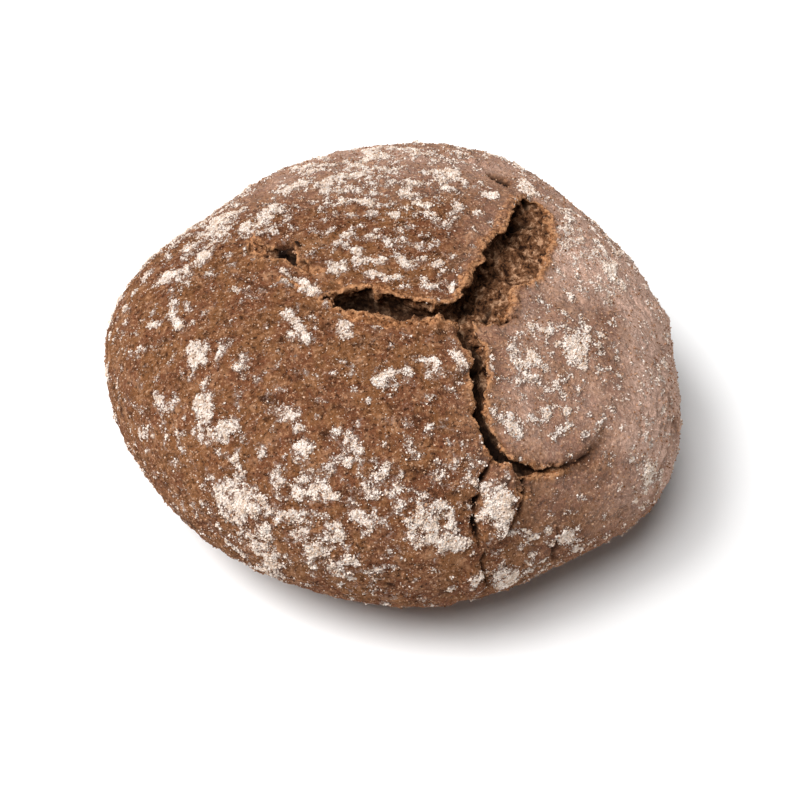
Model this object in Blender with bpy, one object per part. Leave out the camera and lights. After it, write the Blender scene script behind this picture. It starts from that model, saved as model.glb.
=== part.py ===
"""A round rye loaf, baked free on the oven floor: one solid piece.

It stands on its flat base, with +Z up and the origin in the middle of the base. While it baked,
the crust tore in three arms that meet just off the top, so the loaf is a domed solid with those
tears cut out of it. Sizes are in millimetres until the finished mesh is scaled to metres.
"""

from collections import namedtuple
from math import atan2, ceil, copysign, cos, exp, hypot, radians, sin

import bmesh
import bpy
from mathutils import Vector, kdtree, noise
from mathutils.bvhtree import BVHTree

MM = 0.001

# The dome
HEIGHT = 88.0  # from the base to the top
MEAN_RADIUS = 91.0  # of the outline seen from above
BULGE_HEIGHT = 35.0  # of the widest ring above the base
LOWER_DEPTH = 40.0  # of the lower half, before the base cuts it off flat
SQUARENESS = 2.3  # of the profile: 2 is an ellipse, more is boxier
LEAN = (-11.0, -16.0)  # how far the profile leans over, for a full height
OUTLINE_CENTRE = (3.1, -1.3)  # puts the leaning loaf in the middle of its box
OUTLINE_WAVES = (  # waves round the outline, share of the radius, azimuth of a crest in degrees
    (2, 0.017, 73),
    (3, 0.030, -44),
    (4, 0.018, -11),
    (5, 0.009, -35),
    (7, 0.010, 18),
)
LUMP_HEIGHT = 0.7
LUMP_SPACING = 30.0

BASE = (0, 0, 0)
UP = (0, 0, 1)

# The mesh
BALL_SUBDIVISIONS = 5
FINE_REACH = 6.5  # edges within this distance of a tear are split
FINE_EDGE = 3.4  # down to this length
STATION_SPACING = 3.0  # between the sections of a tear
CUTTER_RISE = 6.0  # of a cutter above the crust
CUTTER_FLARE = 1.35  # its width up there, over its width at the crust
MOST_JAG = 0.15  # raggedness of a tear's edges, as a share of its width
JAG_SPACING = 6.5
SIDE_SHIFT = 40.0  # keeps the two edges of a tear from jagging alike

# A tear's section, left lip to right lip looking along it, in half widths and depths
SLIT = ((-1.0, 0.0), (-0.8, -0.5), (0.0, -1.0), (0.8, -0.5), (1.0, 0.0))
UNDERCUT_RIGHT = (
    (-1.0, 0.0),
    (-0.75, -0.3),
    (0.0, -0.65),
    (0.55, -1.0),
    (1.1, -0.75),
    (1.2, -0.35),
    (1.0, 0.0),
)
UNDERCUT_LEFT = tuple((-across, up) for across, up in reversed(UNDERCUT_RIGHT))

# Stations are (x, y, z, width, depth): a point on the crust, and the size of the tear there.
# The crust on either side of a tear curls up by lift_left and lift_right.
Tear = namedtuple("Tear", "name section lift_left lift_right stations")
TEARS = (
    Tear(
        "west_arm",
        UNDERCUT_RIGHT,
        0.3,
        1.2,
        (
            (24.0, -30.5, 86.0, 4.0, 8.0),
            (15.5, -30.5, 86.5, 5.4, 8.0),
            (11.0, -30.5, 87.0, 5.0, 8.0),
            (6.0, -30.0, 87.0, 6.4, 9.0),
            (0.0, -28.5, 87.5, 9.0, 11.0),
            (-5.0, -27.5, 87.5, 7.8, 11.0),
            (-9.0, -26.5, 87.5, 8.0, 12.0),
            (-13.5, -25.5, 87.5, 6.6, 10.0),
            (-17.5, -25.0, 87.5, 2.8, 5.0),
            (-21.0, -24.5, 87.0, 0.8, 1.2),
        ),
    ),
    Tear(
        "north_arm",
        UNDERCUT_LEFT,
        1.4,
        0.6,
        (
            (18.0, -34.5, 86.0, 4.0, 7.0),
            (20.5, -30.5, 86.0, 8.0, 9.0),
            (26.3, -26.5, 85.5, 13.0, 11.0),
            (29.2, -19.5, 85.5, 11.8, 11.0),
            (32.0, -12.5, 85.5, 12.6, 11.0),
            (36.5, -6.0, 84.5, 15.4, 11.0),
            (38.6, 1.0, 83.0, 16.2, 10.0),
            (41.3, 8.5, 82.0, 13.8, 10.0),
            (42.9, 16.0, 80.5, 12.6, 9.5),
            (43.7, 23.0, 79.0, 10.6, 9.0),
            (43.6, 28.5, 77.5, 7.6, 7.0),
            (43.0, 31.5, 76.5, 3.0, 2.5),
        ),
    ),
    Tear(
        "south_arm",
        SLIT,
        0.9,
        0.3,
        (
            (20.5, -27.0, 86.5, 5.0, 8.0),
            (21.5, -34.5, 85.5, 3.4, 8.0),
            (21.8, -40.0, 84.5, 3.0, 8.0),
            (24.3, -43.5, 83.5, 4.4, 9.0),
            (24.7, -49.0, 82.5, 5.0, 9.0),
            (25.2, -55.0, 80.5, 3.2, 8.0),
            (25.2, -61.0, 78.0, 3.0, 8.0),
            (26.2, -65.5, 76.0, 2.2, 6.0),
            (28.5, -69.5, 73.0, 2.5, 6.0),
            (30.8, -72.2, 70.5, 2.6, 5.0),
            (34.5, -73.5, 68.0, 2.4, 4.5),
            (38.5, -73.8, 66.0, 2.5, 4.0),
            (42.5, -73.2, 64.5, 2.3, 3.0),
            (46.0, -72.0, 63.5, 1.6, 1.8),
            (50.0, -70.0, 63.0, 0.8, 0.8),
        ),
    ),
    Tear(
        "shoulder_nick",
        UNDERCUT_RIGHT,
        0.2,
        0.6,
        (
            (-21.0, -13.5, 87.5, 0.8, 0.8),
            (-26.0, -11.4, 87.0, 1.5, 1.6),
            (-29.5, -7.5, 86.5, 2.6, 3.0),
            (-32.2, -4.5, 86.0, 5.2, 7.0),
            (-35.5, -3.3, 85.5, 4.4, 5.0),
            (-38.8, -2.6, 85.0, 4.6, 3.0),
            (-41.8, 1.4, 84.0, 3.4, 2.2),
            (-44.0, 7.3, 83.0, 1.2, 1.0),
        ),
    ),
    Tear(
        "front_fold",
        SLIT,
        0.5,
        0.2,
        (
            (26.5, -88.0, 51.0, 0.8, 0.7),
            (26.8, -88.6, 45.0, 2.0, 1.8),
            (27.2, -88.5, 38.0, 2.2, 2.0),
            (27.7, -87.5, 31.0, 1.6, 1.4),
            (28.0, -84.0, 22.0, 0.7, 0.6),
        ),
    ),
    Tear(
        "east_lap",
        SLIT,
        0.0,
        2.2,
        (
            (66.0, -16.0, 73.0, 0.6, 0.5),
            (72.0, -8.0, 67.0, 0.9, 0.8),
            (79.0, 1.5, 59.0, 1.2, 1.2),
            (85.3, 11.0, 50.0, 1.2, 1.4),
            (88.0, 19.0, 40.0, 0.8, 0.6),
        ),
    ),
)
LIFT_REACH = 11.0  # how far from a tear its lift fades away
FULL_LIFT_WIDTH = 1.2  # a tear narrower than this lifts its edges less

# A leaf-shaped flake stands off the crust where the south arm turns east
FLAKE_CREST = ((31.5, -73.5, 69.0), (30.5, -82.5, 60.5), (27.5, -88.0, 50.5))
FLAKE_HALF_WIDTH = 5.5
FLAKE_HEIGHT = 2.4
FLAKE_BLUNTNESS = 0.6  # of its two ends: 1 is a pointed leaf, less is rounder
LEAST_HALF_WIDTH = 0.5  # at its very tips

CRUST_COLOUR = (0.27, 0.125, 0.065, 1.0)
CRUST_ROUGHNESS = 0.85
SHARP_ANGLE = 40  # degrees: steeper edges, such as a tear's lips, are shaded sharp


def outline_radius(azimuth):
    """Radius of the widest ring, which bulges unevenly as hand-shaped dough does."""
    bulges = sum(share * cos(waves * (azimuth - radians(crest))) for waves, share, crest in OUTLINE_WAVES)
    return MEAN_RADIUS * (1 + bulges)


def crust_point(direction):
    """The point of the untorn crust that a unit direction from inside the loaf stands for."""
    azimuth = atan2(direction.y, direction.x)
    sweep = outline_radius(azimuth) * hypot(direction.x, direction.y) ** (2 / SQUARENESS)
    half_height = HEIGHT - BULGE_HEIGHT if direction.z > 0 else LOWER_DEPTH
    above_bulge = copysign(half_height * abs(direction.z) ** (2 / SQUARENESS), direction.z)
    return Vector(
        (
            OUTLINE_CENTRE[0] + sweep * cos(azimuth) + LEAN[0] * above_bulge / HEIGHT,
            OUTLINE_CENTRE[1] + sweep * sin(azimuth) + LEAN[1] * above_bulge / HEIGHT,
            BULGE_HEIGHT + above_bulge,
        )
    )


def catmull_rom(a, b, c, d, t):
    """A number between b and c, on the smooth curve that also passes through a and d."""
    slope = c - a
    bend = 2 * a - 5 * b + 4 * c - d
    twist = 3 * b - a - 3 * c + d
    return 0.5 * (2 * b + t * slope + t**2 * bend + t**3 * twist)


def smooth_path(stations, spacing):
    """Points along a smooth curve through the stations, with every number of a station blended."""
    ends = [stations[0], *stations, stations[-1]]
    path = []
    for before, start, end, after in zip(ends, ends[1:], ends[2:], ends[3:]):
        steps = max(1, ceil((Vector(end[:3]) - Vector(start[:3])).length / spacing))
        for step in range(steps):
            numbers = zip(before, start, end, after)
            path.append([catmull_rom(*four, step / steps) for four in numbers])
    path.append(list(stations[-1]))
    return path


class Route:
    """A tear's path on the crust: at each point its place, its frame, its width and its depth."""

    def __init__(self, tear, crust):
        self.tear = tear
        path = smooth_path(tear.stations, STATION_SPACING)
        hits = [crust.find_nearest(Vector(point[:3])) for point in path]
        self.places = [hit[0] for hit in hits]
        self.ups = [hit[1] for hit in hits]
        self.widths = [point[3] for point in path]
        self.depths = [point[4] for point in path]
        self.lefts = []
        for i, up in enumerate(self.ups):
            ahead = self.places[min(i + 1, len(path) - 1)] - self.places[max(i - 1, 0)]
            self.lefts.append(up.cross(ahead).normalized())

    def lift(self, i, point):
        """How far the crust at this point, nearest to place i, curls up beside the tear."""
        off = point - self.places[i]
        height = self.tear.lift_left if off.dot(self.lefts[i]) > 0 else self.tear.lift_right
        strength = min(1.0, self.widths[i] / FULL_LIFT_WIDTH)
        return height * strength * exp(-((off.length / LIFT_REACH) ** 2))


def map_ball(bm):
    """Moves the vertices of a unit ball to the crust."""
    for vertex in bm.verts:
        vertex.co = crust_point(vertex.co.normalized())


def coarse_crust():
    """The smooth crust as a surface that points can be dropped onto."""
    bm = bmesh.new()
    bmesh.ops.create_icosphere(bm, subdivisions=BALL_SUBDIVISIONS, radius=1.0)
    map_ball(bm)
    crust = BVHTree.FromBMesh(bm)
    bm.free()
    return crust


def refine_near(bm, tree):
    """Splits the ball's edges wherever their place on the crust is close to a tear."""
    while True:
        long_edges = []
        for edge in bm.edges:
            start, end = (crust_point(vertex.co.normalized()) for vertex in edge.verts)
            near = tree.find((start + end) / 2)[2] < FINE_REACH
            if near and (end - start).length > FINE_EDGE:
                long_edges.append(edge)
        if not long_edges:
            return
        bmesh.ops.subdivide_edges(bm, edges=long_edges, cuts=1, use_grid_fill=True)
        bmesh.ops.triangulate(bm, faces=bm.faces)


def lumps(point):
    """The gentle unevenness of the whole crust."""
    return LUMP_HEIGHT * noise.noise(point / LUMP_SPACING)


def flake_height(point, crest):
    """Height of the leaf-shaped flake here: highest along its crest, and pointed at both ends."""
    i = min(range(len(crest)), key=lambda i: (crest[i] - point).length_squared)
    fullness = sin(radians(180 * i / (len(crest) - 1))) ** FLAKE_BLUNTNESS
    across = (point - crest[i]).length / max(FLAKE_HALF_WIDTH * fullness, LEAST_HALF_WIDTH)
    return FLAKE_HEIGHT * fullness * max(0.0, 1 - across * across)


def make_dome(routes, crust):
    """The untorn loaf: a leaning, lumpy dome on a flat base, curled up beside the tears."""
    places = [(route, i) for route in routes for i in range(len(route.places))]
    tree = kdtree.KDTree(len(places))
    for index, (route, i) in enumerate(places):
        tree.insert(route.places[i], index)
    tree.balance()
    crest = [crust.find_nearest(Vector(point))[0] for point in smooth_path(FLAKE_CREST, 1.0)]

    bm = bmesh.new()
    bmesh.ops.create_icosphere(bm, subdivisions=BALL_SUBDIVISIONS, radius=1.0)
    refine_near(bm, tree)
    map_ball(bm)
    bm.normal_update()
    raised = []
    for vertex in bm.verts:
        route, i = places[tree.find(vertex.co)[1]]
        height = lumps(vertex.co) + route.lift(i, vertex.co) + flake_height(vertex.co, crest)
        raised.append(vertex.co + vertex.normal * height)
    for vertex, place in zip(bm.verts, raised):
        vertex.co = place

    everything = [*bm.verts, *bm.edges, *bm.faces]
    cut = bmesh.ops.bisect_plane(bm, geom=everything, plane_co=BASE, plane_no=UP, clear_inner=True)
    rim = [item for item in cut["geom_cut"] if isinstance(item, bmesh.types.BMEdge)]
    bmesh.ops.edgenet_fill(bm, edges=rim)
    bmesh.ops.recalc_face_normals(bm, faces=bm.faces)
    return bm


def ragged_width(width, place, side):
    """Half the tear's width on one side, pulled in and out as torn crust is."""
    jag = noise.noise(place / JAG_SPACING + Vector((0, 0, SIDE_SHIFT * side)))
    return 0.5 * width * (1 + 2 * MOST_JAG * jag)


def make_cutter(route):
    """The space that a tear leaves: its section swept along its route, from above the crust down."""
    bm = bmesh.new()
    rings = []
    stations = zip(route.places, route.ups, route.lefts, route.widths, route.depths)
    for place, up, left, width, depth in stations:
        ring = []
        for across, height in route.tear.section:
            half = ragged_width(width, place, copysign(1, across))
            ring.append(place - left * across * half + up * height * depth)
        for across in (CUTTER_FLARE, -CUTTER_FLARE):
            ring.append(place - left * across * width / 2 + up * CUTTER_RISE)
        rings.append([bm.verts.new(point) for point in ring])
    for start, end in zip(rings, rings[1:]):
        for i in range(len(start)):
            bm.faces.new((start[i - 1], start[i], end[i], end[i - 1]))
    bm.faces.new(rings[0])
    bm.faces.new(list(reversed(rings[-1])))
    bmesh.ops.recalc_face_normals(bm, faces=bm.faces)
    return bm


def add_object(name, bm):
    """An object of this mesh, scaled from millimetres to metres."""
    bmesh.ops.scale(bm, vec=(MM, MM, MM), verts=bm.verts)
    bmesh.ops.triangulate(bm, faces=bm.faces)
    mesh = bpy.data.meshes.new(name)
    bm.to_mesh(mesh)
    bm.free()
    obj = bpy.data.objects.new(name, mesh)
    bpy.context.scene.collection.objects.link(obj)
    return obj


def crust_material():
    """Matt brown crust."""
    material = bpy.data.materials.new("rye_crust")
    material.use_nodes = True
    shader = material.node_tree.nodes["Principled BSDF"]
    shader.inputs["Base Color"].default_value = CRUST_COLOUR
    shader.inputs["Roughness"].default_value = CRUST_ROUGHNESS
    return material


def clear_scene():
    """Removes whatever the file held before."""
    for obj in list(bpy.data.objects):
        bpy.data.objects.remove(obj)


def main():
    clear_scene()
    crust = coarse_crust()
    routes = [Route(tear, crust) for tear in TEARS]
    loaf = add_object("loaf", make_dome(routes, crust))
    loaf.data.shade_smooth()
    loaf.data.set_sharp_from_angle(angle=radians(SHARP_ANGLE))
    loaf.data.materials.append(crust_material())
    for route in routes:
        cutter = add_object(route.tear.name, make_cutter(route))
        cutter.hide_render = True
        cutter.display_type = "WIRE"
        tear = loaf.modifiers.new(route.tear.name, "BOOLEAN")
        tear.operation = "DIFFERENCE"
        tear.object = cutter


main()
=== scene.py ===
"""The looks of a round rye loaf: its grainy crust, the torn crumb that shows in its tears, and flour.

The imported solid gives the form. Its mesh is copied, made fine, and roughened by noise that depends on
where a point lies: on the crust, on a tear's lip or inside a tear. Single marks, such as flakes and
cracks, follow paths on the crust. Flour lies on it as a thin layer, which the mesh and the material
share, and as loose grains. Shapes are worked out in millimetres and handed over in metres.
"""

from collections import namedtuple
from itertools import product
from math import cos, pi, radians, sin

import bmesh
import bpy
import numpy as np
from mathutils import Matrix, Vector
from mathutils.bvhtree import BVHTree


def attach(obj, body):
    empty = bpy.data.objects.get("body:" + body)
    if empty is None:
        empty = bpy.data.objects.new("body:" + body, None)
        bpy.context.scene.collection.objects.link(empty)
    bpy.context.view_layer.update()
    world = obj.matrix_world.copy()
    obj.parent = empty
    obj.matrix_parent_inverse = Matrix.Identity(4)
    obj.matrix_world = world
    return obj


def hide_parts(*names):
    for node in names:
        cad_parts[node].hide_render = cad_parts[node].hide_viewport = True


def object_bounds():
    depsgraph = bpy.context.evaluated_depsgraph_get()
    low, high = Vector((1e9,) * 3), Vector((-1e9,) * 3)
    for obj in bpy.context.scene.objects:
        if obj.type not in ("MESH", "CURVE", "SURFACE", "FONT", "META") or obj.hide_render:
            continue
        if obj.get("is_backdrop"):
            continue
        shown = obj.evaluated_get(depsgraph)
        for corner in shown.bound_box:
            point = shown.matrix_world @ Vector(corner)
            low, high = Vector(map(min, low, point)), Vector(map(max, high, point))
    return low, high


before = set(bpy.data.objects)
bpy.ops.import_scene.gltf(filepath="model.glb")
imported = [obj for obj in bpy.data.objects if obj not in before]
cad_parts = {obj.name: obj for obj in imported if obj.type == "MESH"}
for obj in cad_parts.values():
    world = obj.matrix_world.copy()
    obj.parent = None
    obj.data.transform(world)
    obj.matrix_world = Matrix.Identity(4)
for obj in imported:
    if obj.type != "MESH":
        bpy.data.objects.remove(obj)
cad_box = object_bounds()

MM = 0.001
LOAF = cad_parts["loaf"]

# The fine mesh
VOXEL = 0.55
MOST_TRIANGLES = 192_000
WELD = 0.001
CRUST_TILT = 32.0  # degrees: a face of the solid that tilts more from its hull is a tear's wall
CRUST_DEPTH = 1.8  # and so is one that lies deeper than this
FAR = 14.0  # distances to a tear are only measured this far
SMOOTHING_ROUNDS = 60
SMOOTHING_SHARE = 0.9  # how far a point of the crust moves towards its neighbours' mean in one round
BASE_FADE = (0.4, 3.0)  # the relief fades out between these heights, so the base stays flat

# The basket that the dough rose in left rings, and flour in rows between them
RING_CENTRE = np.array((0.0, -35.0, 87.0))
RING_SPACING = 10.0
RING_START = 7.5
RING_HEIGHT = 0.25
EDGE_FOLDS_CENTRE = (84.0, -43.0, 44.0)  # fine folds low on the east edge
EDGE_FOLDS_REACH = (14.0, 12.0, 20.0)
EDGE_FOLDS_SPACING = 2.9

# The tears
CRUMB_EAST = 62.0  # the lap and the fold beyond these places are closed: no crumb shows in them
CRUMB_FRONT = -80.0
SKY_RAYS = 24  # how much open air a point in a tear sees is measured by rays of this number and reach
SKY_REACH = 14.0
SKY_LOWEST = 0.25  # no ray climbs less than this for each unit of its length
SKY_FROM = 0.3  # only points this far inside a lip are measured
SKY_LIFT = 0.4  # and the rays start this far off the surface
KEPT_SIDE = -2.5  # from here inwards the tears keep their finest mesh
KEPT_BROWNED = 0.05  # and so do marks that are browned more than this

# Flour and bran
GLOBE_CENTRE = Vector((0.0, 0.0, 35.0))  # patches are placed by azimuth and elevation from here
GLOBE_RADIUS = 70.0  # and where that meets no crust, on the crust nearest to a point this far out
DUST_SIZES = (0.3, 0.65)  # the smallest and largest width of each kind of grain, before it is stretched
GRAIN_SIZES = (0.45, 1.0)
BRAN_SIZES = (0.5, 1.0)
GRAIN_STRETCH = (0.6, 1.1)
GRAIN_LIFT = 0.35  # how far a grain's middle stands off the crust, as a share of half its width

# The camera, the lights and the floor
CAMERA_ELEVATION = 46.0
CAMERA_DISTANCE = 600.0
CAMERA_TARGET = Vector((2.59, -15.78, 35.0))
LENS = 85.0
SENSOR = 36.0
LAMP_SPREAD = 38.0  # degrees across, as of a large softbox close by
LAMPS = (  # name, azimuth and elevation in degrees, strength
    ("left", 184, 52, 2.55),
    ("key", 230, 67, 2.75),
    ("right", 0, 14, 0.45),
)
WORLD_STRENGTH = 0.05
FLOOR_REACH = 3.0
FLOOR_COLOUR = (0.9, 0.9, 0.9, 1)

EDGES = np.array([edge for edge in product((-1.0, 0.0, 1.0), repeat=3) if sum(map(abs, edge)) == 2])


# ---------------------------------------------------------------- noise


def hash_cells(cells, seed):
    """A scattered whole number for each cell of a grid, the same on every run."""
    n = cells[:, 0] * 374761393 + cells[:, 1] * 668265263 + cells[:, 2] * 1440662683 + seed * 974634777
    n = n & 0xFFFFFFFF
    n = ((n ^ (n >> 13)) * 1274126177) & 0xFFFFFFFF
    n = ((n ^ (n >> 16)) * 668265263) & 0xFFFFFFFF
    return n ^ (n >> 15)


def noise(points, spacing, seed):
    """Smooth noise from about -1 to 1 whose bumps are about this far apart."""
    scaled = points / spacing
    cells = np.floor(scaled).astype(np.int64)
    inside = scaled - cells
    fade = inside**3 * (inside * (inside * 6 - 15) + 10)
    total = np.zeros(len(points))
    for corner in product((0, 1), repeat=3):
        slopes = EDGES[hash_cells(cells + corner, seed) % len(EDGES)]
        heights = np.einsum("ij,ij->i", slopes, inside - corner)
        total += heights * np.prod(np.where(corner, fade, 1 - fade), axis=1)
    return total


def fractal(points, spacing, seed, octaves=3, gain=0.5):
    """Noise with finer noise on it, each octave at half the spacing of the one before."""
    return sum(gain**i * noise(points, spacing / 2**i, seed + i) for i in range(octaves))


def noise_vectors(points, spacing, seed):
    """A smooth random direction at each point."""
    return np.stack([noise(points, spacing, seed + axis) for axis in range(3)], axis=1)


def cell_distance(points, spacing, seed):
    """Distance to the nearest of scattered spots, one in each cube of a grid, as a share of its side."""
    scaled = points / spacing
    cells = np.floor(scaled).astype(np.int64)
    nearest = np.full(len(points), np.inf)
    for step in product((-1, 0, 1), repeat=3):
        cube = cells + step
        spot = np.stack([hash_cells(cube, seed + axis) % 4096 / 4096 for axis in range(3)], axis=1)
        nearest = np.minimum(nearest, ((cube + spot - scaled) ** 2).sum(axis=1))
    return np.sqrt(nearest)


def ramp(values, low, high):
    """0 below low, 1 above high, and smooth between."""
    t = np.clip((values - low) / (high - low), 0, 1)
    return t * t * (3 - 2 * t)


# ---------------------------------------------------------------- the fine mesh


def read_vectors(collection, name):
    """A mesh's places or normals as an array."""
    numbers = np.empty(len(collection) * 3, np.float32)
    collection.foreach_get(name, numbers)
    return numbers.reshape(-1, 3).astype(np.float64)


def write_places(mesh, places):
    mesh.vertices.foreach_set("co", places.astype(np.float32).ravel())
    mesh.update()


def apply_modifiers(obj):
    """Replaces an object's mesh by what its modifiers make of it."""
    depsgraph = bpy.context.evaluated_depsgraph_get()
    mesh = bpy.data.meshes.new_from_object(obj.evaluated_get(depsgraph))
    obj.modifiers.clear()
    obj.data = mesh


def welded_solid():
    """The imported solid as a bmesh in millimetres, its faces joined up again."""
    bm = bmesh.new()
    bm.from_mesh(LOAF.data)
    bmesh.ops.scale(bm, vec=(1 / MM, 1 / MM, 1 / MM), verts=bm.verts)
    bmesh.ops.remove_doubles(bm, verts=bm.verts, dist=WELD)
    bmesh.ops.recalc_face_normals(bm, faces=bm.faces)
    bm.verts.index_update()
    return bm


def hull_tree(bm):
    """The convex hull of the solid, which stands for its crust before it tore."""
    hull = bm.copy()
    made = bmesh.ops.convex_hull(hull, input=hull.verts)
    inner = [item for item in made["geom_interior"] if isinstance(item, bmesh.types.BMVert)]
    bmesh.ops.delete(hull, geom=inner, context="VERTS")
    tree = BVHTree.FromBMesh(hull)
    hull.free()
    return tree


def crust_and_tear_trees(bm, hull):
    """Two search trees of the solid's faces: the crust's, and those of the tears' walls and floors."""
    places = [vertex.co.copy() for vertex in bm.verts]
    crust, tears = [], []
    for face in bm.faces:
        centre = face.calc_center_median()
        _, normal, _, depth = hull.find_nearest(centre)
        closed = centre.x > CRUMB_EAST or centre.y < CRUMB_FRONT
        level = depth < CRUST_DEPTH and face.normal.dot(normal) > cos(radians(CRUST_TILT))
        (crust if level or closed else tears).append([vertex.index for vertex in face.verts])
    return BVHTree.FromPolygons(places, crust), BVHTree.FromPolygons(places, tears)


def tear_side(points, crust_tree, tear_tree):
    """How far each point is past a tear's lip: negative out on the crust, positive inside the tear."""
    side = np.full(len(points), -FAR)
    for i, point in enumerate(points.tolist()):
        to_tear = tear_tree.find_nearest(point, FAR)[3]
        if to_tear is not None:
            side[i] = crust_tree.find_nearest(point)[3] - to_tear
    return side


def sky_rays():
    """Directions spread evenly over the sky, all within about 75 degrees of straight up."""
    for i in range(SKY_RAYS):
        height = 1 - (1 - SKY_LOWEST) * (i + 0.5) / SKY_RAYS
        turn = i * pi * (3 - 5**0.5)
        level = (1 - height * height) ** 0.5
        yield Vector((cos(turn) * level, sin(turn) * level, height))


def open_air(points, normals, side, solid):
    """The share of the sky that each point inside a tear sees; 1 on the crust."""
    rays = list(sky_rays())
    share = np.ones(len(points))
    for i in np.flatnonzero(side > SKY_FROM):
        start = Vector(points[i] + SKY_LIFT * normals[i])
        blocked = sum(solid.ray_cast(start, ray, SKY_REACH)[0] is not None for ray in rays)
        share[i] = 1 - blocked / SKY_RAYS
    return share


def connected_parts(bm):
    """The mesh's points in groups, one for each part that hangs together."""
    unseen = set(bm.verts)
    while unseen:
        waiting, part = [unseen.pop()], []
        while waiting:
            vertex = waiting.pop()
            part.append(vertex)
            nearby = {edge.other_vert(vertex) for edge in vertex.link_edges} & unseen
            unseen -= nearby
            waiting.extend(nearby)
        yield part


def drop_loose_bits(mesh):
    """Keeps the largest part of a mesh alone."""
    bm = bmesh.new()
    bm.from_mesh(mesh)
    parts = sorted(connected_parts(bm), key=len)
    loose = [vertex for part in parts[:-1] for vertex in part]
    bmesh.ops.delete(bm, geom=loose, context="VERTS")
    bm.to_mesh(mesh)
    bm.free()


def fine_loaf(bm):
    """A new object with an even, fine mesh of the solid."""
    mesh = bpy.data.meshes.new("rye_loaf")
    bm.to_mesh(mesh)
    piece = bpy.data.objects.new("rye_loaf", mesh)
    bpy.context.scene.collection.objects.link(piece)
    remesh = piece.modifiers.new("fine", "REMESH")
    remesh.mode = "VOXEL"
    remesh.voxel_size = VOXEL
    apply_modifiers(piece)
    drop_loose_bits(piece.data)
    return piece


def smoothed(places, mesh, weights, rounds):
    """The places drawn towards their neighbours' mean, which takes the solid's facets away."""
    ends = np.empty(len(mesh.edges) * 2, np.int32)
    mesh.edges.foreach_get("vertices", ends)
    starts, stops = ends.reshape(-1, 2).T
    count = np.bincount(ends, minlength=len(places))[:, None]
    for _ in range(rounds):
        total = np.zeros_like(places)
        for axis in range(3):
            total[:, axis] += np.bincount(starts, places[stops, axis], len(places))
            total[:, axis] += np.bincount(stops, places[starts, axis], len(places))
        places = places + weights[:, None] * (total / count - places)
    return places


# ---------------------------------------------------------------- relief

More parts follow.
